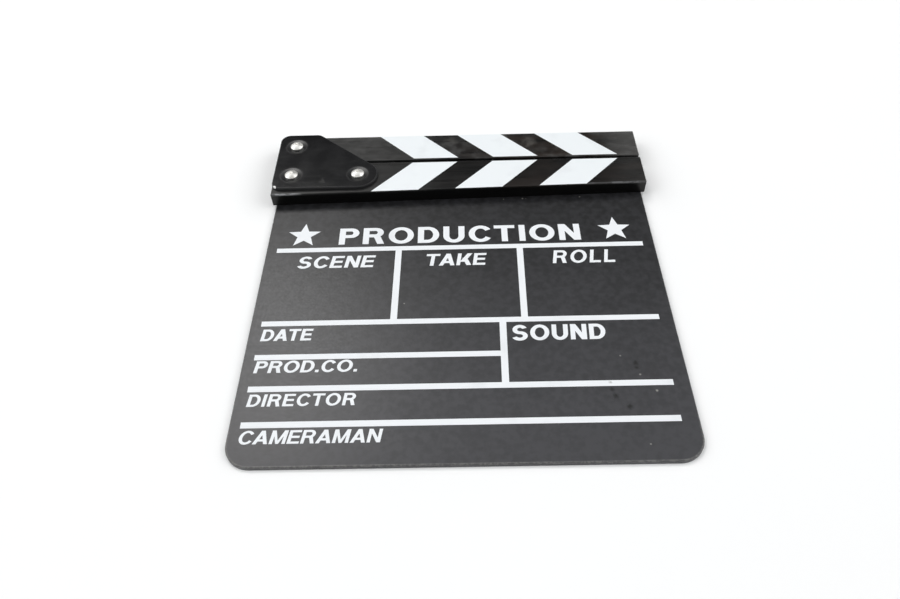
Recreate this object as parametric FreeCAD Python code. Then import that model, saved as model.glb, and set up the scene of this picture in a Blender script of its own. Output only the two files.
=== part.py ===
import FreeCAD
import Part

import math
import os

# A wooden clapperboard lying on its back: a thin slate board, a fixed clap stick across its far end,
# a moving clap stick beyond that, and a hinge plate over the left ends of both sticks.
# Millimetres. X runs along the sticks, Y from the board's front edge to the sticks, Z out of the slate.
# The origin is below the middle of the whole object, on the surface that it lies on.

# Slate board
BOARD_WIDTH = 200.0
BOARD_THICKNESS = 2.0
BOARD_CORNER_RADIUS = 11.5
BOARD_EDGE_CHAMFER = 0.4
BOARD_BACK_INSET = 0.5
SLATE_DEPTH = 182.8

# Clap sticks; the fixed one is a hand-cut batten that narrows a little towards its free end
STICK_LENGTH = 203.8
STICK_THICKNESS = 7.5
STICK_EDGE_ROUND = 0.6
FIXED_STICK_DEPTH_HINGE_END = 25.4
FIXED_STICK_DEPTH_FREE_END = 21.0
MOVING_STICK_DEPTH = 21.6
STICK_GAP = 2.4

# Hinge plate and the places of its three screws
PIVOT_INSET = 10.0
PLATE_SCREW_SPACING = 36.6
PLATE_SCREW_FROM_GAP = 11.4
PLATE_THICKNESS = 1.8
PLATE_BACK_LENGTH = 22.4
PLATE_LOBE_RADIUS = 11.0
PLATE_CORNER_RADIUS = 5.5
PLATE_SHOULDER_RADIUS = 5.0
PLATE_EDGE_ROUND = 0.8
DISH_RADIUS = 6.0
DISH_DEPTH = 0.3
DISH_FLOOR_MARGIN = 0.3

# Pan-head screws with a cross recess
SCREW_DIAMETER = 3.5
PAN_HEAD_DIAMETER = 7.0
PAN_HEAD_HEIGHT = 2.3
PAN_HEAD_RIM = 0.7
PAN_HEAD_FLAT = 4.4
CROSS_LENGTH = 3.9
CROSS_WIDTH = 0.9
CROSS_DEPTH = 1.3

# Pivot stack under the plate
WASHER_DIAMETER = 8.0
WASHER_THICKNESS = 0.5
NUT_ACROSS_FLATS = 6.0
NUT_HEIGHT = 3.2
PIVOT_TIP_STANDOUT = 0.3

# Countersunk wood screws through the board's back into the fixed stick
BOARD_SCREW_DIAMETER = 3.0
BOARD_SCREW_HEAD_DIAMETER = 5.6
BOARD_SCREW_HEAD_SINK = 0.2

# Wood screw points and the wood left beyond them
SCREW_POINT_LENGTH = 2.0
WOOD_BEYOND_POINT = 1.5

# Clearances
RUNNING_CLEARANCE = 0.05
HOLE_CLEARANCE = 0.15
PILOT_CLEARANCE = 0.05
POCKET_CLEARANCE = 0.3
PIVOT_PLAY = 0.1
HEEL_CLEARANCE = 0.4

# Places along Y, from the front edge of the board to the back of the moving stick
TOTAL_DEPTH = SLATE_DEPTH + STICK_GAP + MOVING_STICK_DEPTH
FRONT_Y = -TOTAL_DEPTH / 2
GAP_FRONT_Y = FRONT_Y + SLATE_DEPTH
GAP_BACK_Y = GAP_FRONT_Y + STICK_GAP
BACK_Y = GAP_BACK_Y + MOVING_STICK_DEPTH

# Places along X
HINGE_END_X = -STICK_LENGTH / 2
FREE_END_X = STICK_LENGTH / 2

# Screw centres on the plate
PIVOT_X = HINGE_END_X + PIVOT_INSET
PIVOT_Y = GAP_BACK_Y + MOVING_STICK_DEPTH / 2
PLATE_SCREW_LEFT_X = PIVOT_X
PLATE_SCREW_RIGHT_X = PLATE_SCREW_LEFT_X + PLATE_SCREW_SPACING
PLATE_SCREW_Y = GAP_FRONT_Y - PLATE_SCREW_FROM_GAP

# Heights, from the board's back upwards
FIXED_STICK_BASE_Z = BOARD_THICKNESS
PLATE_BASE_Z = FIXED_STICK_BASE_Z + STICK_THICKNESS
PLATE_TOP_Z = PLATE_BASE_Z + PLATE_THICKNESS
SCREW_SEAT_Z = PLATE_TOP_Z - DISH_DEPTH
SPACER_TOP_Z = PLATE_BASE_Z - PIVOT_PLAY
MOVING_STICK_TOP_Z = SPACER_TOP_Z - WASHER_THICKNESS
MOVING_STICK_BASE_Z = MOVING_STICK_TOP_Z - STICK_THICKNESS
NUT_POCKET_DEPTH = WASHER_THICKNESS + NUT_HEIGHT + PIVOT_TIP_STANDOUT
NUT_POCKET_FLOOR_Z = MOVING_STICK_BASE_Z + NUT_POCKET_DEPTH

# The board screws lie on the fixed stick: one between the two plate screws, its mirror image and the middle
BOARD_SCREW_SIDE_X = (PLATE_SCREW_LEFT_X + PLATE_SCREW_RIGHT_X) / 2
BOARD_SCREW_PLACES = {"left": BOARD_SCREW_SIDE_X, "middle": 0.0, "right": -BOARD_SCREW_SIDE_X}

# How far the wood screws reach beyond the faces that their heads seat on
PLATE_SCREW_REACH = SCREW_SEAT_Z - FIXED_STICK_BASE_Z - WOOD_BEYOND_POINT
BOARD_SCREW_REACH = BOARD_THICKNESS + STICK_THICKNESS - WOOD_BEYOND_POINT

UP = FreeCAD.Vector(0, 0, 1)
TOLERANCE = 1e-6


def point(x, y, z=0.0):
    return FreeCAD.Vector(x, y, z)


def slab(outline, base_z, thickness):
    """Solid between two heights over a flat closed outline of points."""
    wire = Part.makePolygon(outline + outline[:1])
    solid = Part.Face(wire).extrude(UP * thickness)
    solid.translate(UP * base_z)
    return solid


def upright_edges(solid, x, y):
    """Edges of the solid that stand on the given place."""
    return [
        edge
        for edge in solid.Edges
        if all(math.hypot(v.X - x, v.Y - y) < TOLERANCE for v in edge.Vertexes)
    ]


def level_edges(solid, z):
    """Edges of the solid that lie wholly at the given height."""
    return [edge for edge in solid.Edges if all(abs(v.Z - z) < TOLERANCE for v in edge.Vertexes)]


def edges_above(solid, z):
    """Edges of the solid that lie or reach above the given height."""
    return [edge for edge in solid.Edges if any(v.Z > z + TOLERANCE for v in edge.Vertexes)]


def turned_polygon(corners):
    """Solid of revolution about Z from corners given as radius and height, the first and last on the axis."""
    places = [point(radius, 0, z) for radius, z in corners]
    return Part.Face(Part.makePolygon(places + places[:1])).revolve(point(0, 0), UP, 360)


def at(solid, x, y, z):
    """Copy of the solid, moved from the origin to the given place."""
    moved = solid.copy()
    moved.translate(point(x, y, z))
    return moved


def disc(diameter, height):
    return Part.makeCylinder(diameter / 2, height)


def cross_recess():
    """Two crossing slots, cut down into the top of a pan head."""
    slot = Part.makeBox(CROSS_LENGTH, CROSS_WIDTH, CROSS_DEPTH, point(-CROSS_LENGTH / 2, -CROSS_WIDTH / 2))
    crossing = slot.copy()
    crossing.rotate(point(0, 0), UP, 90)
    return at(slot.fuse(crossing), 0, 0, PAN_HEAD_HEIGHT - CROSS_DEPTH)


def pan_head():
    """Head on the plane Z = 0: a short rim, a sloping shoulder and a flat top with a cross recess."""
    rim = PAN_HEAD_DIAMETER / 2
    flat = PAN_HEAD_FLAT / 2
    corners = [(0, 0), (rim, 0), (rim, PAN_HEAD_RIM), (flat, PAN_HEAD_HEIGHT), (0, PAN_HEAD_HEIGHT)]
    return turned_polygon(corners).cut(cross_recess())


def pointed_shank(diameter, reach, clearance=0.0):
    """Wood screw shank that hangs from Z = 0, or with a clearance the hole that it needs."""
    radius = diameter / 2 + clearance
    tip = -reach - clearance
    return turned_polygon([(0, 0), (radius, 0), (radius, tip + SCREW_POINT_LENGTH), (0, tip)])


def plain_shank(diameter, reach):
    """Machine screw shank that hangs from Z = 0."""
    return at(disc(diameter, reach), 0, 0, -reach)


def countersunk_shape(clearance=0.0):
    """Countersunk wood screw that stands on Z = 0, head down, or with a clearance the hole that it needs."""
    head = BOARD_SCREW_HEAD_DIAMETER / 2 + clearance
    shank = BOARD_SCREW_DIAMETER / 2 + clearance
    tip = BOARD_SCREW_REACH - BOARD_SCREW_HEAD_SINK + clearance
    profile = [(0, 0), (head, 0), (shank, head - shank), (shank, tip - SCREW_POINT_LENGTH), (0, tip)]
    return turned_polygon(profile)


def washer():
    bore = disc(SCREW_DIAMETER + 2 * RUNNING_CLEARANCE, WASHER_THICKNESS)
    return disc(WASHER_DIAMETER, WASHER_THICKNESS).cut(bore)


def slate_board():
    half = BOARD_WIDTH / 2
    back_y = GAP_FRONT_Y - BOARD_BACK_INSET
    corners = [point(-half, FRONT_Y), point(half, FRONT_Y), point(half, back_y), point(-half, back_y)]
    board = slab(corners, 0, BOARD_THICKNESS)
    front_corners = upright_edges(board, -half, FRONT_Y) + upright_edges(board, half, FRONT_Y)
    board = board.makeFillet(BOARD_CORNER_RADIUS, front_corners)
    board = board.makeChamfer(BOARD_EDGE_CHAMFER, level_edges(board, BOARD_THICKNESS))
    for hole in board_screw_holes():
        board = board.cut(hole)
    return board


def board_screw_holes():
    """Countersunk holes that open below the board's back and run on into the fixed stick."""
    sink = disc(BOARD_SCREW_HEAD_DIAMETER + 2 * PILOT_CLEARANCE, BOARD_SCREW_HEAD_SINK)
    hole = sink.fuse(at(countersunk_shape(PILOT_CLEARANCE), 0, 0, BOARD_SCREW_HEAD_SINK))
    return [at(hole, x, PLATE_SCREW_Y, 0) for x in BOARD_SCREW_PLACES.values()]


def stick_blank(corners, base_z):
    """Planed batten over four corners, its upper and upright arrises eased and its lower ones left square."""
    blank = slab(corners, base_z, STICK_THICKNESS)
    return blank.makeFillet(STICK_EDGE_ROUND, edges_above(blank, base_z))


def fixed_clap_stick():
    corners = [
        point(HINGE_END_X, GAP_FRONT_Y - FIXED_STICK_DEPTH_HINGE_END),
        point(FREE_END_X, GAP_FRONT_Y - FIXED_STICK_DEPTH_FREE_END),
        point(FREE_END_X, GAP_FRONT_Y),
        point(HINGE_END_X, GAP_FRONT_Y),
    ]
    stick = stick_blank(corners, FIXED_STICK_BASE_Z)
    pilot = pointed_shank(SCREW_DIAMETER, PLATE_SCREW_REACH, PILOT_CLEARANCE)
    for x in (PLATE_SCREW_LEFT_X, PLATE_SCREW_RIGHT_X):
        stick = stick.cut(at(pilot, x, PLATE_SCREW_Y, SCREW_SEAT_Z))
    for hole in board_screw_holes():
        stick = stick.cut(hole)
    return stick


def moving_clap_stick():
    corners = [
        point(HINGE_END_X, GAP_BACK_Y),
        point(FREE_END_X, GAP_BACK_Y),
        point(FREE_END_X, BACK_Y),
        point(HINGE_END_X, BACK_Y),
    ]
    stick = stick_blank(corners, MOVING_STICK_BASE_Z)
    stick = stick.cut(heel_relief())
    bore = disc(SCREW_DIAMETER + 2 * PILOT_CLEARANCE, STICK_THICKNESS)
    pocket = disc(WASHER_DIAMETER + 2 * POCKET_CLEARANCE, NUT_POCKET_DEPTH)
    for hole in (bore, pocket):
        stick = stick.cut(at(hole, PIVOT_X, PIVOT_Y, MOVING_STICK_BASE_Z))
    return stick


def heel_relief():
    """What is sanded off the heel's front corner: all that lies outside a circle about the pivot."""
    heel_radius = PIVOT_Y - GAP_FRONT_Y - HEEL_CLEARANCE
    corner_foot = point(HINGE_END_X, GAP_BACK_Y, MOVING_STICK_BASE_Z)
    corner = Part.makeBox(PIVOT_INSET, PIVOT_Y - GAP_BACK_Y, STICK_THICKNESS, corner_foot)
    kept = at(disc(2 * heel_radius, STICK_THICKNESS), PIVOT_X, PIVOT_Y, MOVING_STICK_BASE_Z)
    return corner.cut(kept)


def hinge_plate():
    """Plate with three corners and a round lobe about the right-hand screw, which two sides touch."""
    shoulder = point(HINGE_END_X + PLATE_BACK_LENGTH, BACK_Y)
    lobe = point(PLATE_SCREW_RIGHT_X, PLATE_SCREW_Y)
    front_y = PLATE_SCREW_Y - PLATE_LOBE_RADIUS
    to_shoulder = shoulder - lobe
    shoulder_turn = math.atan2(to_shoulder.y, to_shoulder.x)
    touch_turn = shoulder_turn - math.acos(PLATE_LOBE_RADIUS / to_shoulder.Length)
    middle_turn = (touch_turn - math.pi / 2) / 2

    def on_lobe(turn):
        return lobe + point(math.cos(turn), math.sin(turn)) * PLATE_LOBE_RADIUS

    front_left = point(HINGE_END_X, front_y)
    back_left = point(HINGE_END_X, BACK_Y)
    slant_end = on_lobe(touch_turn)
    lobe_front = on_lobe(-math.pi / 2)
    outline = [
        Part.makeLine(front_left, back_left),
        Part.makeLine(back_left, shoulder),
        Part.makeLine(shoulder, slant_end),
        Part.Arc(slant_end, on_lobe(middle_turn), lobe_front).toShape(),
        Part.makeLine(lobe_front, front_left),
    ]
    plate = at(Part.Face(Part.Wire(outline)).extrude(UP * PLATE_THICKNESS), 0, 0, PLATE_BASE_Z)
    square_corners = []
    for corner in (front_left, back_left):
        square_corners += upright_edges(plate, corner.x, corner.y)
    plate = plate.makeFillet(PLATE_CORNER_RADIUS, square_corners)
    plate = plate.makeFillet(PLATE_SHOULDER_RADIUS, upright_edges(plate, shoulder.x, shoulder.y))
    plate = plate.makeFillet(PLATE_EDGE_ROUND, level_edges(plate, PLATE_TOP_Z))
    pivot_hole = disc(SCREW_DIAMETER + 2 * RUNNING_CLEARANCE, PLATE_THICKNESS)
    screw_hole = disc(SCREW_DIAMETER + 2 * HOLE_CLEARANCE, PLATE_THICKNESS)
    places = [
        (PIVOT_X, PIVOT_Y, pivot_hole),
        (PLATE_SCREW_LEFT_X, PLATE_SCREW_Y, screw_hole),
        (PLATE_SCREW_RIGHT_X, PLATE_SCREW_Y, screw_hole),
    ]
    for x, y, hole in places:
        plate = plate.cut(at(screw_dish(), x, y, SCREW_SEAT_Z))
        plate = plate.cut(at(hole, x, y, PLATE_BASE_Z))
    return plate


def screw_dish():
    """Shallow pressed dish: a flat floor for the screw head and a slope up to the plate's face."""
    floor = PAN_HEAD_DIAMETER / 2 + DISH_FLOOR_MARGIN
    return turned_polygon([(0, 0), (floor, 0), (DISH_RADIUS, DISH_DEPTH), (0, DISH_DEPTH)])


def plate_screw(x):
    screw = pan_head().fuse(pointed_shank(SCREW_DIAMETER, PLATE_SCREW_REACH)).removeSplitter()
    return at(screw, x, PLATE_SCREW_Y, SCREW_SEAT_Z)


def pivot_screw():
    seat_z = SCREW_SEAT_Z + PIVOT_PLAY
    reach = seat_z - MOVING_STICK_BASE_Z
    screw = pan_head().fuse(plain_shank(SCREW_DIAMETER, reach)).removeSplitter()
    return at(screw, PIVOT_X, PIVOT_Y, seat_z)


def pivot_lock_nut():
    """Hexagon with its corners on the circle that its width across flats gives."""
    corner_radius = NUT_ACROSS_FLATS / math.sqrt(3)
    turns = [math.radians(60 * side) for side in range(6)]
    corners = [point(corner_radius * math.cos(turn), corner_radius * math.sin(turn)) for turn in turns]
    nut = slab(corners, 0, NUT_HEIGHT).cut(disc(SCREW_DIAMETER + 2 * RUNNING_CLEARANCE, NUT_HEIGHT))
    return at(nut, PIVOT_X, PIVOT_Y, NUT_POCKET_FLOOR_Z - WASHER_THICKNESS - NUT_HEIGHT)


def board_screw(x):
    return at(countersunk_shape(), x, PLATE_SCREW_Y, BOARD_SCREW_HEAD_SINK)


pieces = {
    "slate_board": slate_board(),
    "fixed_clap_stick": fixed_clap_stick(),
    "moving_clap_stick": moving_clap_stick(),
    "hinge_plate": hinge_plate(),
    "plate_screw_left": plate_screw(PLATE_SCREW_LEFT_X),
    "plate_screw_right": plate_screw(PLATE_SCREW_RIGHT_X),
    "pivot_screw": pivot_screw(),
    "pivot_spacer_washer": at(washer(), PIVOT_X, PIVOT_Y, MOVING_STICK_TOP_Z),
    "pivot_back_washer": at(washer(), PIVOT_X, PIVOT_Y, NUT_POCKET_FLOOR_Z - WASHER_THICKNESS),
    "pivot_lock_nut": pivot_lock_nut(),
}
for place, screw_x in BOARD_SCREW_PLACES.items():
    pieces["board_screw_" + place] = board_screw(screw_x)

os.makedirs("parts", exist_ok=True)
for name, shape in pieces.items():
    shape.exportStep("parts/" + name + ".step")
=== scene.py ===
import math

import bpy
import numpy as np
from mathutils import Matrix, Vector


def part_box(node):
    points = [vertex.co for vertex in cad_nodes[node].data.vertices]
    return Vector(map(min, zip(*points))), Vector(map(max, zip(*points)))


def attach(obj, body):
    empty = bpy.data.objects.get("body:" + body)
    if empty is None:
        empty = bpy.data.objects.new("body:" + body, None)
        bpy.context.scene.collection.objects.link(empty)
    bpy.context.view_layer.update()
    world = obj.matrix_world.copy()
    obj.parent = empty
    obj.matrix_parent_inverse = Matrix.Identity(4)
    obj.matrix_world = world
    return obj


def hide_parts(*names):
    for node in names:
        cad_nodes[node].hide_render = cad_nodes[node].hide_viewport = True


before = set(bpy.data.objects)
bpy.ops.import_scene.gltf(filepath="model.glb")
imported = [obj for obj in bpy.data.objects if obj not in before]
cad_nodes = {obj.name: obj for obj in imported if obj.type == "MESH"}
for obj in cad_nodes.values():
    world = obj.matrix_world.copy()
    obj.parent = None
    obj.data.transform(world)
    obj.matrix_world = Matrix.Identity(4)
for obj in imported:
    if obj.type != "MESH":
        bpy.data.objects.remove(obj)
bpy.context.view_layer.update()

# Slate board
# A sheet of thin hardboard with two rounded front corners, sprayed with matt slate paint on every side.
# The paint keeps the sheet's pebbled skin and is paler towards the front, with a painted sheen at the front
# left, a painted highlight along the front arris and a few spots.


class Signal:
    """One output socket in a material. Arithmetic on it adds Math nodes, and node() adds any other node."""

    def __init__(self, tree, socket):
        self.tree = tree
        self.socket = socket

    def node(self, kind, settings, sockets, output=0):
        """Adds a node of one kind, sets its settings, then fills its sockets with values or links."""
        added = self.tree.nodes.new(kind)
        for name, value in settings.items():
            setattr(added, name, value)
        for name, value in sockets.items():
            if isinstance(value, Signal):
                self.tree.links.new(value.socket, added.inputs[name])
            else:
                added.inputs[name].default_value = value
        return Signal(self.tree, added.outputs[output])

    def math(self, operation, first, second=0.0):
        """Adds a Math node. An operation on one value leaves the second unused."""
        return self.node("ShaderNodeMath", {"operation": operation}, {0: first, 1: second})

    def __add__(self, other):
        return self.math("ADD", self, other)

    def __radd__(self, other):
        return self.math("ADD", other, self)

    def __sub__(self, other):
        return self.math("SUBTRACT", self, other)

    def __rsub__(self, other):
        return self.math("SUBTRACT", other, self)

    def __mul__(self, other):
        return self.math("MULTIPLY", self, other)

    def __rmul__(self, other):
        return self.math("MULTIPLY", other, self)

    def ramp(self, low, high):
        """Smooth step from 0 where the value is low to 1 where it is high. Low may be the larger number."""
        sockets = {"Value": self, "From Min": low, "From Max": high}
        return self.node("ShaderNodeMapRange", {"interpolation_type": "SMOOTHSTEP"}, sockets)

    def between(self, first_colour, second_colour):
        """Colour that goes from the first to the second as the value goes from 0 to 1."""
        sockets = {0: self, 6: first_colour, 7: second_colour}
        return self.node("ShaderNodeMix", {"data_type": "RGBA"}, sockets, output=2)

    def noise(self, scale, detail, stretch=(1.0, 1.0, 1.0)):
        """Cloudy value around 0.5 at this place, with features about 1 / scale metres across."""
        placed = self.node("ShaderNodeMapping", {}, {"Vector": self, "Scale": stretch})
        return self.node("ShaderNodeTexNoise", {}, {"Vector": placed, "Scale": scale, "Detail": detail})

    def axis(self, letter):
        """One coordinate of this place."""
        return self.node("ShaderNodeSeparateXYZ", {}, {"Vector": self}, output=letter)

    def distance(self, point):
        """How far this place is from a point."""
        settings = {"operation": "DISTANCE"}
        return self.node("ShaderNodeVectorMath", settings, {0: self, 1: point}, output="Value")

    def relief(self, strength, distance):
        """Normal of a surface that the value raises by up to the distance, in metres."""
        return self.node("ShaderNodeBump", {}, {"Height": self, "Strength": strength, "Distance": distance})


def start_finish(name, constants):
    """New material with constants on its shader's own sockets, and the place on its piece, in metres."""
    material = bpy.data.materials.new(name)
    material.use_nodes = True
    tree = material.node_tree
    for socket, value in constants.items():
        tree.nodes["Principled BSDF"].inputs[socket].default_value = value
    coordinates = tree.nodes.new("ShaderNodeTexCoord")
    return material, Signal(tree, coordinates.outputs["Object"])


def feed(material, signals):
    """Links what changes over the surface to the shader's sockets."""
    tree = material.node_tree
    for socket, signal in signals.items():
        tree.links.new(signal.socket, tree.nodes["Principled BSDF"].inputs[socket])


def dress(node, material):
    """Gives a CAD node this material in place of the one that it was packed with."""
    cad_nodes[node].data.materials.clear()
    cad_nodes[node].data.materials.append(material)


MM = 0.001
board_low, board_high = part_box("slate_board")
# Each noise, here and below: its features to the metre, its detail and, if it isn't even, its stretch
# Each range, here and below: the value of a noise where a pattern starts and the value where it is full
RAGGED_NOISE = (900.0, 2.0)
# Where a round mark's rim ends and where its full middle starts, as shares of its radius
SPOT_RIM = 1.5
SPOT_CORE = 0.5


def spot(place, x, y, radius):
    """1 in the middle of a round mark on the slate, falling to 0 at its ragged rim.

    Its place is in millimetres, right from the board's middle and up from its front edge.
    """
    away = place.distance((x * MM, board_low.y + y * MM, board_high.z))
    ragged = place.noise(*RAGGED_NOISE) * (radius * MM)
    return (away + ragged).ramp(SPOT_RIM * radius * MM, SPOT_CORE * radius * MM)


SLATE_GLOSS = 0.5
SLATE_DARK = (0.0056, 0.0057, 0.0062, 1.0)
SLATE_PALE = (0.0442, 0.0442, 0.0490, 1.0)
CLOUD_NOISE = (26.0, 5.0)
CLOUD_RANGE = (0.30, 0.75)
MOTTLE_NOISE = (330.0, 6.0)
MOTTLE_RANGE = (0.30, 0.70)
PEBBLE_NOISE = (900.0, 3.0)
PEBBLE_RELIEF = (0.3, 0.10 * MM)
SLATE_ROUGHNESS = 0.27
PEBBLE_ROUGHNESS = 0.16
PALING_BY_REACH = 0.85
PALING_BY_CLOUD = 0.15
PALE_BY_PALING = 0.80
PALE_BY_MOTTLE = 0.35
# Where the paint pales: from this far up the slate, where it is still dark, down to where it is palest
PALING_REACH = (160.0 * MM, 0.0 * MM)
SLATE_SHEEN = (0.092, 0.088, 0.089, 1.0)
SHEEN_COVER = 0.35
# Where a sheen is painted in: from nothing to most of it, towards the left side and towards the front edge
SHEEN_SIDE = (-25.0 * MM, -95.0 * MM)
SHEEN_FRONT = (70.0 * MM, 10.0 * MM)
SLATE_ARRIS_HIGHLIGHT = (0.17, 0.167, 0.16, 1.0)
ARRIS_HIGHLIGHT_RANGE = (0.40, 0.65)
ARRIS_HIGHLIGHT_LEAST = 0.35
ARRIS_HIGHLIGHT_MORE = 0.5
CORNER_RADIUS = 11.5 * MM
# Where a highlight is painted along the front arris: in from the rim, down from the face and up the board's
# sides
ARRIS_HIGHLIGHT_WIDTH = (1.1 * MM, 0.44 * MM)
ARRIS_HIGHLIGHT_DEPTH = (0.7 * MM, 0.3 * MM)
ARRIS_HIGHLIGHT_SIDE = (26.0 * MM, 8.0 * MM)
SLATE_DUST = (0.33, 0.32, 0.30, 1.0)
DUST_COVER = 0.8
# Each spot: its place in millimetres, right from the board's middle and up from its front, and its radius
DUST_SPOTS = [
    (71.6, 52.7, 0.7),
    (78.8, 42.4, 0.8),
    (84.7, 33.9, 0.9),
    (77.3, 8.0, 0.55),
    (-27.4, 85.8, 0.6),
    (24.5, 158.3, 0.5),
    (34.8, 158.5, 0.6),
    (36.6, 158.4, 0.4),
    (66.0, 159.0, 0.5),
]
SLATE_GREASE = (0.003, 0.003, 0.003, 1.0)
GREASE_COVER = 0.9
GREASE_SPOTS = [
    (77.9, 48.6, 1.9),
    (78.0, 46.0, 1.5),
    (66.6, 31.6, 2.2),
    (65.3, 35.0, 1.7),
    (71.6, 26.0, 2.0),
]

slate_paint, place = start_finish("slate_paint", {"Specular IOR Level": SLATE_GLOSS})
up_slate = place.axis("Y") - board_low.y
cloud = place.noise(*CLOUD_NOISE).ramp(*CLOUD_RANGE)
# The slate is darker towards the sticks and paler towards the front edge, and paler in random clouds
made_paler = up_slate.ramp(*PALING_REACH) * PALING_BY_REACH + cloud * PALING_BY_CLOUD
mottle = place.noise(*MOTTLE_NOISE).ramp(*MOTTLE_RANGE)
colour = (made_paler * PALE_BY_PALING + mottle * PALE_BY_MOTTLE).between(SLATE_DARK, SLATE_PALE)
# A paler patch towards the front left is a painted sheen
painted_sheen = place.axis("X").ramp(*SHEEN_SIDE) * up_slate.ramp(*SHEEN_FRONT)
colour = (painted_sheen * SHEEN_COVER).between(colour, SLATE_SHEEN)

# The distance in from the rim is the corner radius less the distance past where the round corners start
past_side = place.math("ABSOLUTE", place.axis("X")) - (board_high.x - CORNER_RADIUS)
past_side = place.math("MAXIMUM", past_side, 0.0)
past_front = place.math("MAXIMUM", CORNER_RADIUS - up_slate, 0.0)
from_rim = CORNER_RADIUS - place.math("SQRT", past_side * past_side + past_front * past_front)
near_face = (board_high.z - place.axis("Z")).ramp(*ARRIS_HIGHLIGHT_DEPTH)
top_arris = from_rim.ramp(*ARRIS_HIGHLIGHT_WIDTH) * near_face * up_slate.ramp(*ARRIS_HIGHLIGHT_SIDE)
pebbles = place.noise(*PEBBLE_NOISE)
# The pale, broken line along the front arris is a painted highlight
arris_highlight = top_arris * (ARRIS_HIGHLIGHT_LEAST + pebbles.ramp(*ARRIS_HIGHLIGHT_RANGE) * ARRIS_HIGHLIGHT_MORE)
colour = arris_highlight.between(colour, SLATE_ARRIS_HIGHLIGHT)

grease = sum(spot(place, *setting) for setting in GREASE_SPOTS)
colour = (grease * GREASE_COVER).between(colour, SLATE_GREASE)
dust = sum(spot(place, *setting) for setting in DUST_SPOTS)
colour = (dust * DUST_COVER).between(colour, SLATE_DUST)
feed(
    slate_paint,
    {
        "Base Color": colour,
        "Roughness": SLATE_ROUGHNESS + pebbles * PEBBLE_ROUGHNESS,
        "Normal": pebbles.relief(*PEBBLE_RELIEF),
    },
)
dress("slate_board", slate_paint)

# Printed form
# The ruled form, screen-printed on the slate in one coat of white ink: five rules, three uprights, two stars.
# Each shape is a closed slab of ink under a tenth of a millimetre high, its foot sunk into the slate paint.

# Height of a slab above the slate, the hair by which the next is higher, and how many heights there are
INK_HEIGHT = 0.06 * MM
INK_STEP = 0.005 * MM
INK_LEVELS = 8
INK_SINK = 0.02 * MM


def inked(outlines):
    """Slabs of ink over flat outlines, each an array of places in board millimetres.

    An outline is run anticlockwise, once below the slate's face and once at the ink's height, and the two are
    joined by upright sides. Outlines that follow one another differ in height by a hair, so that strokes that
    cross don't share a face.
    """
    points = []
    faces = []
    first = 0
    for number, outline in enumerate(outlines):
        outline = np.asarray(outline, float)
        ahead = np.roll(outline, -1, axis=0)
        turn = np.sum(outline[:, 0] * ahead[:, 1] - ahead[:, 0] * outline[:, 1])
        if turn < 0:
            outline = outline[::-1]
        corners = len(outline)
        flat = outline * MM + (0.0, board_low.y)
        height = INK_HEIGHT + INK_STEP * (number % INK_LEVELS)
        points.append(np.insert(flat, 2, board_high.z - INK_SINK, axis=1))
        points.append(np.insert(flat, 2, board_high.z + height, axis=1))
        ring = first + np.arange(corners)
        after = np.roll(ring, -1)
        faces.append(ring[::-1].tolist())
        faces.append((ring + corners).tolist())
        faces.extend(np.stack([ring, after, after + corners, ring + corners], axis=1).tolist())
        first += 2 * corners
    return np.concatenate(points), faces


def piece(name, shape, material, body):
    """New mesh object at the origin, with its place in its points, that rides on a body."""
    points, faces = shape
    mesh = bpy.data.meshes.new(name)
    mesh.from_pydata(points.tolist(), [], faces)
    mesh.materials.append(material)
    made = bpy.data.objects.new(name, mesh)
    bpy.context.scene.collection.objects.link(made)
    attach(made, body)
    return made


def bar(left, right, foot, head):
    """Upright rectangle."""
    return np.array([(left, foot), (right, foot), (right, head), (left, head)], float)


def leg(foot_left, foot, head_left, head, width):
    """Straight stroke with level ends: a parallelogram between two heights."""
    corners = [(foot_left, foot), (foot_left + width, foot), (head_left + width, head), (head_left, head)]
    return np.array(corners, float)


INK_GLOSS = 0.4
INK_WHITE = (0.84, 0.86, 0.885, 1.0)
INK_THIN = (0.76, 0.78, 0.805, 1.0)
THIN_INK_NOISE = (60.0, 5.0)
THIN_INK_RANGE = (0.50, 0.80)
INK_SMEAR = (0.42, 0.42, 0.40, 1.0)
SMEAR_COVER = 0.7
SMEAR_SPOT = (65.0, 38.6, 1.2)
INK_NOISE = (1800.0, 2.0)
INK_RELIEF = (0.15, 0.05 * MM)
INK_ROUGHNESS = 0.55
INK_GRAIN_ROUGHNESS = 0.1

white_ink, place = start_finish("white_ink", {"Specular IOR Level": INK_GLOSS})
thin_patches = place.noise(*THIN_INK_NOISE).ramp(*THIN_INK_RANGE)
colour = thin_patches.between(INK_WHITE, INK_THIN)
colour = (spot(place, *SMEAR_SPOT) * SMEAR_COVER).between(colour, INK_SMEAR)
ink_grain = place.noise(*INK_NOISE)
feed(
    white_ink,
    {
        "Base Color": colour,
        "Roughness": INK_ROUGHNESS + ink_grain * INK_GRAIN_ROUGHNESS,
        "Normal": ink_grain.relief(*INK_RELIEF),
    },
)

RULE_WIDTH = 2.95
# Each rule, in board millimetres: the middle of its width, its left end and its right end
RULES = {
    "header": (122.75, -94.6, 94.1),
    "takes": (74.75, -94.9, 93.3),
    "date": (55.25, -95.0, 18.0),
    "company": (38.1, -95.1, 92.6),
    "director": (20.0, -95.1, 92.3),
}
UPRIGHT_WIDTH = 3.2
UPRIGHT_LEAN = 0.016
# Each upright: the middle of its width half-way up, the rule that it stands on and the rule that it meets
UPRIGHTS = [(-31.75, "takes", "header"), (30.45, "takes", "header"), (19.35, "company", "takes")]
STARS = [(-81.6, 133.4), (81.1, 133.8)]
STAR_POINTS = 5
STAR_RADIUS = 8.75
STAR_WAIST = 0.42


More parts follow.
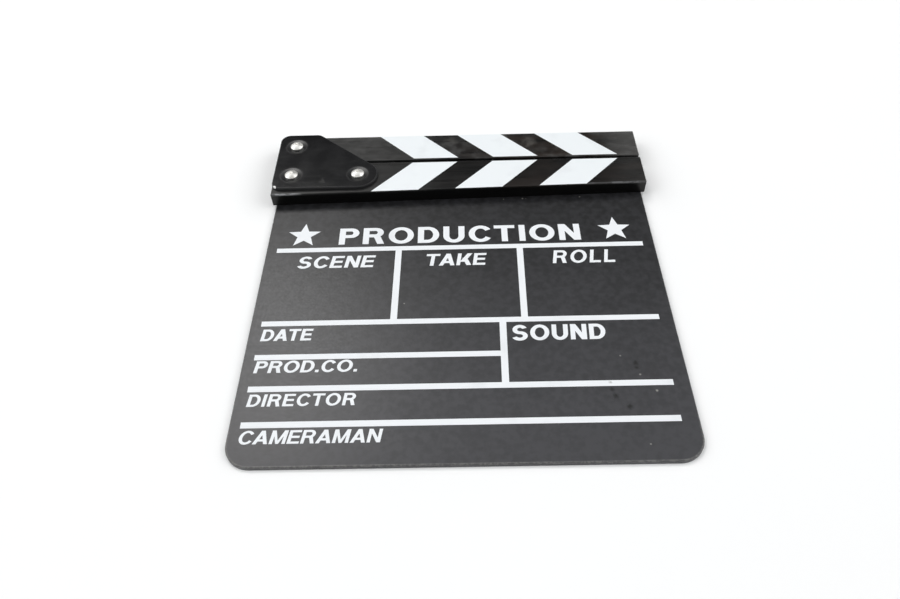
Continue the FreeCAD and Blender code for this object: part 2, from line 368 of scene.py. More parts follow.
def rule(name):
    """Level bar about the middle of a rule."""
    middle, left, right = RULES[name]
    return bar(left, right, middle - RULE_WIDTH / 2, middle + RULE_WIDTH / 2)


def upright(middle, lower_rule, upper_rule):
    """Stroke between the middles of two rules that leans a little to the right, as printed."""
    foot = RULES[lower_rule][0]
    head = RULES[upper_rule][0]
    left = middle - UPRIGHT_WIDTH / 2
    lean = UPRIGHT_LEAN * (head - foot) / 2
    return leg(left - lean, foot, left + lean, head, UPRIGHT_WIDTH)


def star(x, y):
    """Star: corners on two circles in turn, the first straight up."""
    corners = np.arange(2 * STAR_POINTS)
    turns = math.pi / 2 + corners * math.pi / STAR_POINTS
    radii = STAR_RADIUS * np.where(corners % 2, STAR_WAIST, 1.0)
    return np.stack([x + radii * np.cos(turns), y + radii * np.sin(turns)], axis=1)


form = [rule(name) for name in RULES] + [upright(*ends) for ends in UPRIGHTS]
piece("printed_rules", inked(form), white_ink, "slate")
piece("printed_stars", inked([star(*middle) for middle in STARS]), white_ink, "slate")

# Printed captions
# The field names that any film slate carries, printed with the form in the same ink: heavy slanted capitals
# in their boxes and a plain heading between the two stars. Each letter is a few straight strokes and bows.

# How far a round letter passes the line, as a share of its height
OVERSHOOT = 0.015
BOW_STEPS = 20
# Widths of level strokes, of sloping legs and of the inner legs of an M, as shares of a stem's width
BEAM_SHARE = 0.79
SLOPE_SHARE = 1.12
VEE_SHARE = 0.83


def alphabet(weight):
    """Width of each letter and outlines of its strokes, one unit high. The weight is the width of a stem.

    An S is two bows, one on the other, each as high as half the letter and half a level stroke.
    """
    thin = BEAM_SHARE * weight
    slope = SLOPE_SHARE * weight
    vee = VEE_SHARE * weight
    apex = 0.46 - slope / 2
    head = 1 - thin
    tall = 0.5 + OVERSHOOT
    s_rise = (1 + 2 * OVERSHOOT + thin) / 4

    def bow(x, y, reach, rise, start, end):
        """Curved stroke: the band between two ellipses about the same middle, from one turn to another."""
        turns = np.radians(np.linspace(start, end, BOW_STEPS))
        outer = np.stack([x + reach * np.cos(turns), y + rise * np.sin(turns)], axis=1)
        inner = np.stack([x + (reach - weight) * np.cos(turns), y + (rise - thin) * np.sin(turns)], axis=1)
        return np.concatenate([outer, inner[::-1]])

    def stem(left):
        """Upright stroke over the letter's full height."""
        return bar(left, left + weight, 0, 1)

    def beam(right, foot):
        """Level stroke from the right side of a letter's stem."""
        return bar(weight, right, foot, foot + thin)

    return {
        ".": (0.22, [bar(0, 0.22, 0, 0.2)]),
        "A": (
            0.92,
            [
                leg(0, 0, apex, 1, slope),
                leg(0.92 - slope, 0, apex, 1, slope),
                bar(0.2, 0.72, 0.2, 0.2 + thin),
            ],
        ),
        "C": (0.86, [bow(0.46, 0.5, 0.46, tall, 33, 327)]),
        "D": (0.82, [stem(0), beam(0.38, 0), beam(0.38, head), bow(0.38, 0.5, 0.44, 0.5, -90, 90)]),
        "E": (0.73, [stem(0), beam(0.73, 0), beam(0.68, 0.42), beam(0.72, head)]),
        "I": (weight, [stem(0)]),
        "K": (
            0.86,
            [
                stem(0),
                leg(0.19, 0.29, 0.56, 1, 1.3 * weight),
                leg(0.60, 0, 0.30, 0.61, 1.25 * weight),
            ],
        ),
        "L": (0.66, [stem(0), beam(0.66, 0)]),
        "M": (
            0.98,
            [
                stem(0),
                stem(0.98 - weight),
                leg(0.49 - vee / 2, 0, 0.06, 1, vee),
                leg(0.49 - vee / 2, 0, 0.92 - vee, 1, vee),
            ],
        ),
        "N": (0.82, [stem(0), stem(0.82 - weight), leg(0.82 - slope, 0, 0, 1, slope)]),
        "O": (0.97, [bow(0.485, 0.5, 0.485, tall, -90, 90), bow(0.485, 0.5, 0.485, tall, 90, 270)]),
        "P": (0.76, [stem(0), beam(0.45, 0.40), beam(0.45, head), bow(0.45, 0.70, 0.31, 0.30, -90, 90)]),
        "R": (
            0.83,
            [
                stem(0),
                beam(0.47, 0.41),
                beam(0.47, head),
                bow(0.47, 0.705, 0.32, 0.295, -90, 90),
                leg(0.83 - slope, 0, 0.66 - slope, 0.5, slope),
            ],
        ),
        "S": (
            0.80,
            [
                bow(0.40, 1 + OVERSHOOT - s_rise, 0.37, s_rise, 20, 275),
                bow(0.40, s_rise - OVERSHOOT, 0.40, s_rise, -160, 95),
            ],
        ),
        "T": (0.80, [bar(0, 0.80, head, 1), bar(0.40 - weight / 2, 0.40 + weight / 2, 0, head)]),
        "U": (
            0.82,
            [
                bar(0, weight, 0.4, 1),
                bar(0.82 - weight, 0.82, 0.4, 1),
                bow(0.41, 0.4, 0.41, 0.4 + OVERSHOOT, 180, 360),
            ],
        ),
    }


# Pairs of letters that stand closer together, and by how much
KERNING = {"AT": 0.10, "TA": 0.08, "TO": 0.04, "CT": 0.04, "CA": 0.04, "RA": 0.02, "DA": 0.04}
# Each caption: its left and right ends, foot and head in board millimetres, then its slant, the gap between
# its letters and its weight, the last two as shares of a letter's height before it is stretched
CAPTIONS = {
    "SCENE": (-82.4, -43.5, 110.0, 118.1, 0.16, 0.135, 0.22),
    "TAKE": (-17.3, 13.2, 110.1, 118.2, 0.14, 0.10, 0.22),
    "ROLL": (47.4, 78.8, 110.2, 119.0, 0.155, 0.19, 0.21),
    "DATE": (-93.6, -69.9, 64.6, 71.4, 0.11, 0.09, 0.225),
    "PROD.CO.": (-93.8, -47.0, 46.7, 53.2, 0.13, 0.115, 0.22),
    "DIRECTOR": (-94.0, -46.6, 29.15, 35.4, 0.12, 0.15, 0.215),
    "CAMERAMAN": (-94.6, -34.4, 10.9, 17.3, 0.165, 0.095, 0.205),
    "SOUND": (23.5, 66.9, 62.3, 71.2, 0.05, 0.125, 0.24),
    "PRODUCTION": (-63.0, 63.0, 126.3, 138.0, 0.0, 0.16, 0.235),
}


def lettering(word, left, right, foot, head, slant, gap, weight):
    """Outlines of a word's strokes: letters in a row, stretched to a box and slanted about its middle."""
    letters = alphabet(weight)
    pen = 0.0
    strokes = []
    for letter, following in zip(word, word[1:] + " "):
        width, shapes = letters[letter]
        strokes += [shape + (pen, 0.0) for shape in shapes]
        pen += width + gap - KERNING.get(letter + following, 0.0)
    length = pen - gap
    set_strokes = []
    for shape in strokes:
        x = left + shape[:, 0] / length * (right - left) + slant * (head - foot) * (shape[:, 1] - 0.5)
        y = foot + shape[:, 1] * (head - foot)
        set_strokes.append(np.stack([x, y], axis=1))
    return set_strokes


for word, setting in CAPTIONS.items():
    caption = "caption_" + word.lower().replace(".", "")
    piece(caption, inked(lettering(word, *setting)), white_ink, "slate")

# Clap sticks
# Two planed softwood battens, brushed with satin black paint that shows the grain a little, with painted
# shade on their sides and a painted sheen at their hinge ends. The fixed one is screwed to the slate and worn
# through along its front arris, with a painted highlight there at its free end, and the moving one swings on
# the pivot.


def node_points(node):
    """Places of all the corners of a CAD node's mesh, as one array."""
    mesh = cad_nodes[node].data
    points = np.empty(len(mesh.vertices) * 3)
    mesh.vertices.foreach_get("co", points)
    return points.reshape(-1, 3)


def arris(node, side):
    """Line of a stick's front (side -1) or back (side 1) arris from above: its y at x = 0, and its slope."""
    points = node_points(node)
    left = points[points[:, 0] < 0]
    right = points[points[:, 0] > 0]
    start = left[np.argmax(side * left[:, 1])]
    end = right[np.argmax(side * right[:, 1])]
    slope = (end[1] - start[1]) / (end[0] - start[0])
    return start[1] - slope * start[0], slope


STICK_GLOSS = 0.33
STICK_BLACK = (0.0022, 0.0021, 0.0020, 1.0)
STICK_GREY = (0.0092, 0.0090, 0.0090, 1.0)
STICK_DUSTY = (0.075, 0.074, 0.072, 1.0)
# Where thin paint is still all grey, and where it is all brown
GREY_END = -20.0 * MM
BROWN_END = 40.0 * MM
# Where the top is made paler: from nothing to most of it, towards the hinge end, where it is a painted sheen,
# and towards the free end, where hands rub in dust
HINGE_SHEEN = (-5.0 * MM, -30.0 * MM)
FREE_RUB = (76.0 * MM, 97.0 * MM)
SHEEN_AND_DUST_LEAST = 0.7
SHEEN_AND_DUST_MORE = 0.3
# Depth below the top face where the sides' plain black, a painted shade, starts, and where paint is as worn
# as on the face
TOP_DEPTH = (1.5 * MM, 0.5 * MM)
FIBRE_NOISE = (420.0, 5.0, (0.05, 1.0, 1.0))
BRUSHED_NOISE = (150.0, 4.0, (0.12, 1.0, 1.0))
PATCH_NOISE = (55.0, 5.0, (0.6, 1.0, 1.0))
THIN_BY_BRUSH = 0.4
THIN_BY_PATCH = 0.4
THIN_BY_FIBRE = 0.2
THIN_PAINT_RANGE = (0.40, 0.64)
DUSTY_NOISE = (130.0, 6.0)
DUSTY_RANGE = (0.40, 0.75)
DUSTY_PATCH_RANGE = (0.35, 0.60)
SHEEN_AND_DUST_NOISE = (240.0, 5.0, (0.6, 1.0, 1.0))
SHEEN_AND_DUST_RANGE = (0.40, 0.62)
FIBRE_RELIEF = (0.35, 0.15 * MM)
STICK_ROUGHNESS = 0.20
FIBRE_ROUGHNESS = 0.16
THIN_PAINT_ROUGHNESS = 0.06


def stick_finish(name, node, brown, dustiness, hinge_sheen, free_rub):
    """Black paint brushed along a stick: on its sides plain black, a painted shade, and on its top thinner
    over the grain and dusty.

    Thin paint is grey at the hinge end and brown at the free end. The hinge end is made paler as a painted
    sheen, and the free end is rubbed partly dusty grey.
    Gives the material, the place on the stick and the colour, which is fed later.
    """
    paint, place = start_finish(name, {"Specular IOR Level": STICK_GLOSS})
    along = place.axis("X")
    # Below the top face the stick keeps plain black paint, which is painted shade on its sides
    top_not_shaded_side = (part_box(node)[1].z - place.axis("Z")).ramp(*TOP_DEPTH)
    fibre = place.noise(*FIBRE_NOISE)
    patches = place.noise(*PATCH_NOISE)
    thin_paint = place.noise(*BRUSHED_NOISE) * THIN_BY_BRUSH + patches * THIN_BY_PATCH + fibre * THIN_BY_FIBRE
    thin_paint = thin_paint.ramp(*THIN_PAINT_RANGE)
    thin_colour = along.ramp(GREY_END, BROWN_END).between(STICK_GREY, brown)
    colour = (thin_paint * top_not_shaded_side).between(STICK_BLACK, thin_colour)
    dusty = place.noise(*DUSTY_NOISE).ramp(*DUSTY_RANGE) * patches.ramp(*DUSTY_PATCH_RANGE)
    colour = (dusty * top_not_shaded_side * dustiness).between(colour, STICK_DUSTY)
    sheen_and_dust_patches = place.noise(*SHEEN_AND_DUST_NOISE).ramp(*SHEEN_AND_DUST_RANGE)
    # Paler at the hinge end, a painted sheen, and at the free end, where dust is rubbed in
    made_paler = along.ramp(*HINGE_SHEEN) * hinge_sheen + along.ramp(*FREE_RUB) * free_rub
    colour = (made_paler * top_not_shaded_side * (SHEEN_AND_DUST_LEAST + sheen_and_dust_patches * SHEEN_AND_DUST_MORE)).between(colour, STICK_DUSTY)
    roughness = STICK_ROUGHNESS + fibre * FIBRE_ROUGHNESS + thin_paint * THIN_PAINT_ROUGHNESS
    feed(paint, {"Roughness": roughness, "Normal": fibre.relief(*FIBRE_RELIEF)})
    return paint, place, colour


FIXED_BROWN = (0.0100, 0.0068, 0.0053, 1.0)
FIXED_DUSTINESS = 0.08
FIXED_HINGE_SHEEN = 0.22
FIXED_FREE_RUB = 0.24
STICK_BARE_AND_HIGHLIGHT = (0.56, 0.57, 0.59, 1.0)
# Where the front arris is worn through, and at the free end also given a painted highlight: in from it, and
# towards the hinge end and the free end
WORN_WIDTH = (1.17 * MM, 0.325 * MM)
WORN_HINGE_END = (-82.0 * MM, -92.0 * MM)
FREE_WEAR_AND_HIGHLIGHT_END = (66.0 * MM, 76.0 * MM)
WORN_NOISE = (420.0, 3.0, (0.5, 1.0, 1.0))
WORN_RANGE = (0.44, 0.55)
# How bare the arris is all over, at the free end with a painted highlight, and how much more in its chips
HINGE_WEAR = 0.10
HINGE_CHIPS = 0.36
FREE_WEAR_AND_HIGHLIGHT = 0.08
FREE_CHIPS = 0.14

fixed_paint, place, colour = stick_finish(
    "fixed_stick_paint",
    "fixed_clap_stick",
    FIXED_BROWN,
    FIXED_DUSTINESS,
    FIXED_HINGE_SHEEN,
    FIXED_FREE_RUB,
)
front_start, front_slope = arris("fixed_clap_stick", -1)
along = place.axis("X")
from_front = place.axis("Y") - along * front_slope - front_start
below_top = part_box("fixed_clap_stick")[1].z - place.axis("Z")
near_arris = (from_front + below_top).ramp(*WORN_WIDTH)
chips = place.noise(*WORN_NOISE).ramp(*WORN_RANGE)
hinge_wear = along.ramp(*WORN_HINGE_END) * (HINGE_WEAR + chips * HINGE_CHIPS)
# At the free end the pale line is partly wear and partly a painted highlight
free_wear_and_highlight = along.ramp(*FREE_WEAR_AND_HIGHLIGHT_END) * (FREE_WEAR_AND_HIGHLIGHT + chips * FREE_CHIPS)
worn_and_highlight = near_arris * (hinge_wear + free_wear_and_highlight)
feed(fixed_paint, {"Base Color": worn_and_highlight.between(colour, STICK_BARE_AND_HIGHLIGHT)})
dress("fixed_clap_stick", fixed_paint)

MOVING_BROWN = (0.0210, 0.0142, 0.0106, 1.0)
MOVING_DUSTINESS = 0.80
MOVING_HINGE_SHEEN = 0.50
MOVING_FREE_RUB = 1.0
STICK_SMUDGE = (0.200, 0.188, 0.172, 1.0)
# Each smudge: its place, how far it reaches and how much of it covers the paint
SMUDGES = [(-3.4 * MM, 98.2 * MM, 6.0 * MM, 0.14), (41.0 * MM, 95.0 * MM, 6.5 * MM, 0.28)]
SMUDGE_NOISE = (320.0, 4.0)
# How ragged a smudge is, where its rim ends and where its full middle starts, as shares of its reach
SMUDGE_RAGGED = 1.6
SMUDGE_RIM = 1.7
SMUDGE_CORE = 0.8

moving_paint, place, colour = stick_finish(
    "moving_stick_paint",
    "moving_clap_stick",
    MOVING_BROWN,
    MOVING_DUSTINESS,
    MOVING_HINGE_SHEEN,
    MOVING_FREE_RUB,
)
moving_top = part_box("moving_clap_stick")[1].z
for x, y, reach, cover in SMUDGES:
    ragged = place.noise(*SMUDGE_NOISE) * (SMUDGE_RAGGED * reach)
    away = place.distance((x, y, moving_top)) + ragged
    smudge = away.ramp(SMUDGE_RIM * reach, SMUDGE_CORE * reach)
    colour = (smudge * cover).between(colour, STICK_SMUDGE)
feed(moving_paint, {"Base Color": colour})
dress("moving_clap_stick", moving_paint)

# White stripes
# Three slanted bands on each stick, masked and sprayed over the black, that meet at the gap as arrowheads.
# Each is a thin skin of paint over the stick's top that stops short of the gap and ends round the far arris.

STRIPE_COUNT = 3
STRIPE_WIDTH = 25.0 * MM
STRIPE_PITCH = 44.65 * MM
# Where the first stripe's right side meets the gap, and how far a stripe moves along for each step from it
FIXED_FIRST_TIP = 0.5 * MM
FIXED_STRIPE_SLOPE = 0.95
MOVING_FIRST_TIP = 1.2 * MM
MOVING_STRIPE_SLOPE = -0.985
PAINT_HEIGHT = 0.04 * MM
PAINT_SINK = 0.03 * MM
ARRIS_ROUND = 0.6 * MM
OUTER_WRAP = math.radians(40)
GAP_INSET = 0.35 * MM
ARRIS_STEPS = 5
FLAT_STEPS = 9
ACROSS_STEPS = 12


def shell(upper, lower):
    """Closed skin between two like grids: the faces of both, and a rim of faces from border to border."""
    rows, columns = upper.shape[:2]
    count = rows * columns
    index = np.arange(count).reshape(rows, columns)
    quads = np.stack([index[:-1, :-1], index[1:, :-1], index[1:, 1:], index[:-1, 1:]], axis=-1)
    quads = quads.reshape(-1, 4)
    border = np.concatenate([index[:-1, 0], index[-1, :-1], index[:0:-1, -1], index[0, :0:-1]])
    after = np.roll(border, -1)
    rim = np.stack([border + count, after + count, after, border], axis=1)
    points = np.concatenate([upper.reshape(-1, 3), lower.reshape(-1, 3)])
    return points, np.concatenate([quads, quads[:, ::-1] + count, rim])


def stripes(node, gap_side, first_tip, slope):
    """Bands of paint over a stick's top, each one closed skin.

    Across the stick a band follows its section: from just short of the gap, over the flat top and round the
    far arris. A place on the section is a share of the way from front to back and a turn about the arris.
    From above, the band's sides are straight lines that move along by the slope for each step from the gap.
    """
    front, front_lean = arris(node, -1)
    back, back_lean = arris(node, 1)
    gap = back if gap_side > 0 else front
    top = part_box(node)[1].z
    round_turns = np.linspace(0, OUTER_WRAP, ARRIS_STEPS)[1:]
    short = GAP_INSET / (back - front - 2 * ARRIS_ROUND)
    if gap_side > 0:
        turn = np.concatenate([-round_turns[::-1], np.zeros(FLAT_STEPS)])
        share = np.concatenate([0 * round_turns, np.linspace(0, 1 - short, FLAT_STEPS)])
    else:
        turn = np.concatenate([np.zeros(FLAT_STEPS), round_turns])
        share = np.concatenate([np.linspace(short, 1, FLAT_STEPS), 0 * round_turns + 1])
    across = np.linspace(0, 1, ACROSS_STEPS)[:, None]
    all_points = []
    all_faces = []
    first = 0
    for number in range(STRIPE_COUNT):
        at_gap = first_tip + number * STRIPE_PITCH - STRIPE_WIDTH * (1 - across)
        grids = []
        for height in (PAINT_HEIGHT, -PAINT_SINK):
            reach = ARRIS_ROUND + height
            y_start = front + share * (back - front) + ARRIS_ROUND * (1 - 2 * share) + reach * np.sin(turn)
            y_lean = front_lean + share * (back_lean - front_lean)
            x = (at_gap + slope * (y_start - gap)) / (1 - slope * y_lean)
            y = y_start + y_lean * x
            z = top - ARRIS_ROUND + reach * np.cos(turn) + 0 * x
            grids.append(np.stack([x, y, z], axis=-1))
        points, faces = shell(*grids)
        all_points.append(points)
        all_faces.append(faces + first)
        first += len(points)
    return np.concatenate(all_points), np.concatenate(all_faces).tolist()


STRIPE_GLOSS = 0.5
STRIPE_WHITE = (0.83, 0.865, 0.885, 1.0)
STRIPE_GREY = (0.76, 0.79, 0.81, 1.0)
HANDLED_NOISE = (70.0, 5.0)
HANDLED_RANGE = (0.52, 0.82)
GRAIN_NOISE = (260.0, 4.0, (0.06, 1.0, 1.0))
GRAIN_RELIEF = (0.15, 0.1 * MM)
STRIPE_ROUGHNESS = 0.42
GRAIN_ROUGHNESS = 0.12

stripe_paint, place = start_finish("stripe_paint", {"Specular IOR Level": STRIPE_GLOSS})
handled = place.noise(*HANDLED_NOISE).ramp(*HANDLED_RANGE)
grain_lines = place.noise(*GRAIN_NOISE)
feed(
    stripe_paint,
    {
        "Base Color": handled.between(STRIPE_WHITE, STRIPE_GREY),
        "Roughness": STRIPE_ROUGHNESS + grain_lines * GRAIN_ROUGHNESS,
        "Normal": grain_lines.relief(*GRAIN_RELIEF),
    },
)
fixed_stripes = stripes("fixed_clap_stick", 1, FIXED_FIRST_TIP, FIXED_STRIPE_SLOPE)
moving_stripes = stripes("moving_clap_stick", -1, MOVING_FIRST_TIP, MOVING_STRIPE_SLOPE)
piece("fixed_stick_stripes", fixed_stripes, stripe_paint, "slate")
piece("moving_stick_stripes", moving_stripes, stripe_paint, "clap_arm")

# Hinge plate
# A pressed sheet-metal plate over the hinge ends of both sticks, stove-enamelled in gloss black.
# The enamel has a slight orange peel, hair scratches, a scuff and a dull edge, with painted highlights in
# rings round the screws and a painted glint on one corner.

plate_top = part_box("hinge_plate")[1].z
# The screws through the plate, and the bodies that they ride on
PLATE_SCREWS = {"plate_screw_left": "slate", "plate_screw_right": "slate", "pivot_screw": "clap_arm"}
PLATE_GLOSS = 0.5
PLATE_BLACK = (0.0044, 0.0044, 0.0050, 1.0)
PLATE_HAZE = (0.0130, 0.0129, 0.0142, 1.0)
HAZE_NOISE = (85.0, 5.0)
HAZE_RANGE = (0.32, 0.68)
HAZE_COVER = 0.3
SCRATCH_NOISE = (900.0, 6.0, (0.05, 1.0, 1.0))
SCRATCH_RANGE = (0.60, 0.72)
SCRATCH_COVER = 0.2
PEEL_NOISE = (420.0, 1.0)
PEEL_RELIEF = (0.12, 0.1 * MM)
PLATE_SCUFF_AND_HIGHLIGHT = (0.075, 0.073, 0.070, 1.0)
# Painted highlights in rings round the screw heads, on the dishes' rims, and the dishes that the heads sit in
RING_RADIUS = 5.4 * MM
RING_WIDTH = 1.3 * MM
RIM_HIGHLIGHT_COVER = 0.03
DISH_REACH = (7.2 * MM, 5.2 * MM)
SCUFF_PLACE = (-73.8 * MM, 62.5 * MM, plate_top)
SCUFF_REACH = (3.5 * MM, 0.7 * MM)
SCUFF_NOISE = (260.0, 5.0)
SCUFF_RANGE = (0.40, 0.80)
SCUFF_COVER = 0.35
PLATE_GLINT = (0.80, 0.80, 0.79, 1.0)
# The painted glint is what a ball about a place just off the corner cuts from the plate's rounded edge
GLINT_PLACE = (-100.5 * MM, 57.9 * MM, 11.7 * MM)
GLINT_REACH = (1.75 * MM, 1.5 * MM)
# Depth below the plate's face where the enamel starts to dull round its edge, and where it is dullest
DULL_DEPTH = (0.0005 * MM, 0.006 * MM)
PLATE_ROUGHNESS = 0.14
HAZE_ROUGHNESS = 0.04
SCRATCH_ROUGHNESS = 0.05
SCUFF_ROUGHNESS = 0.2
DISH_ROUGHNESS = 0.15
DULL_ROUGHNESS = 0.60


def from_screw(place, node):
    """Distance from a screw's axis where it leaves the plate."""
    low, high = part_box(node)
    return place.distance(((low.x + high.x) / 2, (low.y + high.y) / 2, plate_top))


plate_enamel, place = start_finish("plate_enamel", {"Specular IOR Level": PLATE_GLOSS})
haze = place.noise(*HAZE_NOISE).ramp(*HAZE_RANGE)
scratches = place.noise(*SCRATCH_NOISE).ramp(*SCRATCH_RANGE)
colour = (haze * HAZE_COVER + scratches * SCRATCH_COVER).between(PLATE_BLACK, PLATE_HAZE)
screw_distances = [from_screw(place, node) for node in PLATE_SCREWS]
ring_distances = [place.math("ABSOLUTE", away - RING_RADIUS) for away in screw_distances]
# Pale rings round the screws are painted highlights on the dish rims
rim_highlights = sum(away.ramp(RING_WIDTH, 0.0) for away in ring_distances)
scuff = place.distance(SCUFF_PLACE).ramp(*SCUFF_REACH) * place.noise(*SCUFF_NOISE).ramp(*SCUFF_RANGE)
colour = (rim_highlights * RIM_HIGHLIGHT_COVER + scuff * SCUFF_COVER).between(colour, PLATE_SCUFF_AND_HIGHLIGHT)
# A bright spot on the front left corner is a painted glint
corner_glint = place.distance(GLINT_PLACE).ramp(*GLINT_REACH)
colour = corner_glint.between(colour, PLATE_GLINT)
dishes = sum(away.ramp(*DISH_REACH) for away in screw_distances)
dull_edge = (plate_top - place.axis("Z")).ramp(*DULL_DEPTH) * (1.0 - dishes)
plate_roughness = PLATE_ROUGHNESS + haze * HAZE_ROUGHNESS + scratches * SCRATCH_ROUGHNESS
plate_roughness += scuff * SCUFF_ROUGHNESS + dishes * DISH_ROUGHNESS + dull_edge * DULL_ROUGHNESS
peel = place.noise(*PEEL_NOISE)
feed(
    plate_enamel,
    {"Base Color": colour, "Roughness": plate_roughness, "Normal": peel.relief(*PEEL_RELIEF)},
)
dress("hinge_plate", plate_enamel)

# Plate and pivot screws
# Three pan-head screws with a cross recess, cold-headed from steel wire and plated with bright nickel.
# Two hold the plate to the fixed stick, and the third is the pivot that the moving stick swings on.

HEAD_RIM = 0.7 * MM
CROSS_REACH = 1.3 * MM
CROSS_HALF_WIDTH = 0.26 * MM
CROSS_EDGE = 0.22 * MM
CROSS_DEPTH = 0.25 * MM
CROSS_STEEPNESS = 1.3
SHANK_RADIUS = 1.75 * MM
# Corners of a screw's mesh farther out than this share of the head's radius are on the head's rim
RIM_SHARE = 0.99
ROWS_BELOW_DOME = 3
DOME_ROWS = 36
SCREW_TURNS = 120


def turned_screw(node):
    """Closed surface of revolution through a screw node's box, with a cross pressed into its crown.

    The profile runs from the tip up the shank, out under the head, up its rim and over a dome, a parabola.
    The cross is the deeper of two wings at right angles, each deepest in the middle and fading to its ends.
    """
    low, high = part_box(node)
    middle_x = (low.x + high.x) / 2
    middle_y = (low.y + high.y) / 2
    head_radius = (high.x - low.x) / 2
    points = node_points(node)
    on_rim = np.hypot(points[:, 0] - middle_x, points[:, 1] - middle_y) > RIM_SHARE * head_radius
    seat = points[on_rim, 2].min()
    inward = np.linspace(1, 0, DOME_ROWS)[:-1]
    radius = np.concatenate([[SHANK_RADIUS, SHANK_RADIUS, head_radius], head_radius * inward])
    dome = seat + HEAD_RIM + (high.z - seat - HEAD_RIM) * (1 - inward**2)
    height = np.concatenate([[low.z, seat, seat], dome])
    turns = np.linspace(0, 2 * math.pi, SCREW_TURNS, endpoint=False)
    x = radius[:, None] * np.cos(turns)
    y = radius[:, None] * np.sin(turns)
    on_dome = np.arange(len(radius))[:, None] > ROWS_BELOW_DOME

    def wing(along, aside):
        """Depth of a groove along one axis: its depth times a slope to its ends and a slope to its sides."""
        deep = CROSS_DEPTH * np.clip(CROSS_STEEPNESS * (1 - np.abs(along) / CROSS_REACH), 0, 1)
        return deep * np.clip((CROSS_HALF_WIDTH + CROSS_EDGE - np.abs(aside)) / CROSS_EDGE, 0, 1)

    z = height[:, None] - on_dome * np.maximum(wing(x, y), wing(y, x))
    rows = np.stack([x + middle_x, y + middle_y, z], axis=-1)
    index = np.arange(rows.shape[0] * SCREW_TURNS).reshape(-1, SCREW_TURNS)
    after = np.roll(index, -1, axis=1)
    quads = np.stack([index[:-1], after[:-1], after[1:], index[1:]], axis=-1)
    quads = quads.reshape(-1, 4).tolist()
    tip = index.size
    crown = tip + 1
    foot_fan = np.stack([after[0], index[0], np.full(SCREW_TURNS, tip)], axis=1).tolist()
    crown_fan = np.stack([index[-1], after[-1], np.full(SCREW_TURNS, crown)], axis=1).tolist()
    ends = [(middle_x, middle_y, low.z), (middle_x, middle_y, high.z - CROSS_DEPTH)]
    return np.concatenate([rows.reshape(-1, 3), ends]), quads + foot_fan + crown_fan


def smooth(made, sharpest):
    """Shades a piece smooth, apart from edges sharper than an angle in degrees."""
    mesh = made.data
    mesh.polygons.foreach_set("use_smooth", np.ones(len(mesh.polygons), bool))
    mesh.set_sharp_from_angle(angle=math.radians(sharpest))


NICKEL = (0.80, 0.79, 0.76, 1.0)
NICKEL_DULL = (0.62, 0.60, 0.56, 1.0)
TARNISH_NOISE = (700.0, 4.0)
TARNISH_RANGE = (0.45, 0.75)
NICKEL_ROUGHNESS = 0.42
TARNISH_ROUGHNESS = 0.10
SHARPEST_ON_SCREW = 40

bright_nickel, place = start_finish("bright_nickel", {"Metallic": 1.0})
tarnish = place.noise(*TARNISH_NOISE).ramp(*TARNISH_RANGE)
feed(
    bright_nickel,
    {
        "Base Color": tarnish.between(NICKEL, NICKEL_DULL),
        "Roughness": NICKEL_ROUGHNESS + tarnish * TARNISH_ROUGHNESS,
    },
)
for node, body in PLATE_SCREWS.items():
    screw = piece(node + "_nickel", turned_screw(node), bright_nickel, body)
    smooth(screw, SHARPEST_ON_SCREW)
    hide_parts(node)

# Hidden fasteners
# The pivot's two washers and lock nut, and three countersunk screws that hold the board to the fixed stick.
# All are steel with a bright zinc plate that is a little cloudy.

ZINC = (0.55, 0.56, 0.58, 1.0)
ZINC_CLOUDY = (0.40, 0.41, 0.42, 1.0)
CLOUDY_NOISE = (500.0, 4.0)
CLOUDY_RANGE = (0.4, 0.7)
ZINC_ROUGHNESS = 0.34
CLOUDY_ROUGHNESS = 0.16
ZINC_PARTS = [
    "pivot_spacer_washer",
    "pivot_back_washer",
    "pivot_lock_nut",
    "board_screw_left",
    "board_screw_middle",
    "board_screw_right",
]

zinc_steel, place = start_finish("zinc_steel", {"Metallic": 1.0})
cloudy = place.noise(*CLOUDY_NOISE).ramp(*CLOUDY_RANGE)
feed(
    zinc_steel,
    {
        "Base Color": cloudy.between(ZINC, ZINC_CLOUDY),
        "Roughness": ZINC_ROUGHNESS + cloudy * CLOUDY_ROUGHNESS,
    },
)
for node in ZINC_PARTS:
    dress(node, zinc_steel)

# Studio
# Pale paper under the board in a light tent that is bright overhead and at both sides, and a soft lamp behind
# the board's left side, for the sheen. The camera stands where the photograph was taken from.

PAPER_HALF = 12.0
PAPER_GLOSS = 0.2
PAPER_ROUGHNESS = 0.9
PAPER_NOISE = (6.0, 2.0)
PAPER_DARK = (0.93, 0.93, 0.93, 1.0)
PAPER_LIGHT = (0.95, 0.95, 0.95, 1.0)
paper_corners = [
    (-PAPER_HALF, -PAPER_HALF, 0),
    (PAPER_HALF, -PAPER_HALF, 0),
    (PAPER_HALF, PAPER_HALF, 0),
    (-PAPER_HALF, PAPER_HALF, 0),
]
paper_mesh = bpy.data.meshes.new("studio_paper")
paper_mesh.from_pydata(paper_corners, [], [(0, 1, 2, 3)])
paper = bpy.data.objects.new("studio_paper", paper_mesh)
bpy.context.scene.collection.objects.link(paper)
paper_constants = {"Roughness": PAPER_ROUGHNESS, "Specular IOR Level": PAPER_GLOSS}
paper_white, place = start_finish("paper_white", paper_constants)
feed(paper_white, {"Base Color": place.noise(*PAPER_NOISE).between(PAPER_DARK, PAPER_LIGHT)})
paper_mesh.materials.append(paper_white)

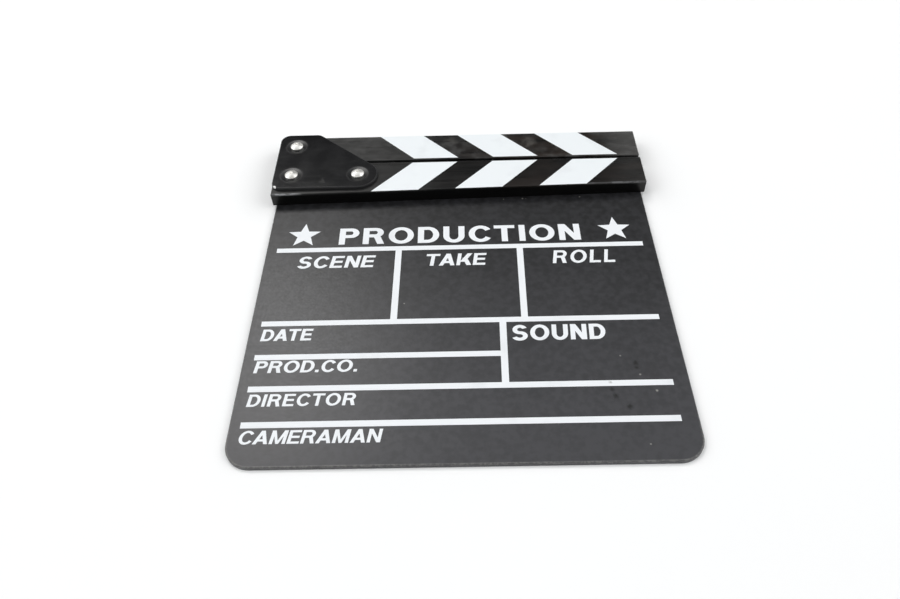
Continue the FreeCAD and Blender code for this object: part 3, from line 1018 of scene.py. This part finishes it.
LAMP_PLACE = Vector((-0.60, 1.12, 1.56))
LAMP_SIDE = 0.55
LAMP_POWER = 6.85
LAMP_COLOUR = (1.0, 0.985, 0.965)
lamp_light = bpy.data.lights.new("soft_lamp", "AREA")
lamp_light.size = LAMP_SIDE
lamp_light.energy = LAMP_POWER
lamp_light.color = LAMP_COLOUR
lamp = bpy.data.objects.new("soft_lamp", lamp_light)
lamp.matrix_world = Matrix.Translation(LAMP_PLACE) @ LAMP_PLACE.to_track_quat("Z", "Y").to_matrix().to_4x4()
bpy.context.scene.collection.objects.link(lamp)

# The tent's light by direction: from the ceiling, from both sides and round the foot. Each pair is where a
# part of it starts and where it is full, as a coordinate of the direction
CEILING_START = 0.58
CEILING_STRENGTH = 2.55
SIDE_TURN = (0.45, 0.80)
SIDE_DEPTH = (-0.80, -0.30)
SIDE_RISE = (0.15, 0.45)
SIDE_STRENGTH = 2.62
WALL_STRENGTH = 0.03
FOOT_RISE = (0.24, 0.08)
FOOT_STRENGTH = 0.90
ROOM_COLOUR = (0.985, 0.995, 1.0, 1.0)
room = bpy.data.worlds.new("light_tent")
room.use_nodes = True
background = room.node_tree.nodes["Background"]
room_coordinates = room.node_tree.nodes.new("ShaderNodeTexCoord")
direction = Signal(room.node_tree, room_coordinates.outputs["Generated"])
rise = direction.axis("Z")
ceiling = direction.math("MAXIMUM", rise - CEILING_START, 0.0)
sides = direction.math("ABSOLUTE", direction.axis("X")).ramp(*SIDE_TURN)
sides = sides * direction.axis("Y").ramp(*SIDE_DEPTH) * rise.ramp(*SIDE_RISE)
foot = rise.ramp(*FOOT_RISE)
room_strength = WALL_STRENGTH + ceiling * CEILING_STRENGTH + sides * SIDE_STRENGTH + foot * FOOT_STRENGTH
room.node_tree.links.new(room_strength.socket, background.inputs["Strength"])
background.inputs["Color"].default_value = ROOM_COLOUR
bpy.context.scene.world = room
bpy.context.scene.view_settings.view_transform = "Standard"

SENSOR_WIDTH = 36.0
FOCAL_LENGTH = 28.94
NEAREST_SEEN = 10 * MM
CAMERA_PLACE = (-0.26 * MM, -240.18 * MM, 271.53 * MM)
# The camera's turns in radians, from looking straight down
CAMERA_PAN = 0.02204
CAMERA_TILT = 0.69463
CAMERA_ROLL = -0.03659
camera_lens = bpy.data.cameras.new("photo_camera")
camera_lens.sensor_width = SENSOR_WIDTH
camera_lens.lens = FOCAL_LENGTH
camera_lens.clip_start = NEAREST_SEEN
camera = bpy.data.objects.new("photo_camera", camera_lens)
camera.matrix_world = (
    Matrix.Translation(CAMERA_PLACE)
    @ Matrix.Rotation(CAMERA_PAN, 4, "Z")
    @ Matrix.Rotation(CAMERA_TILT, 4, "X")
    @ Matrix.Rotation(CAMERA_ROLL, 4, "Z")
)
bpy.context.scene.collection.objects.link(camera)
bpy.context.scene.camera = camera
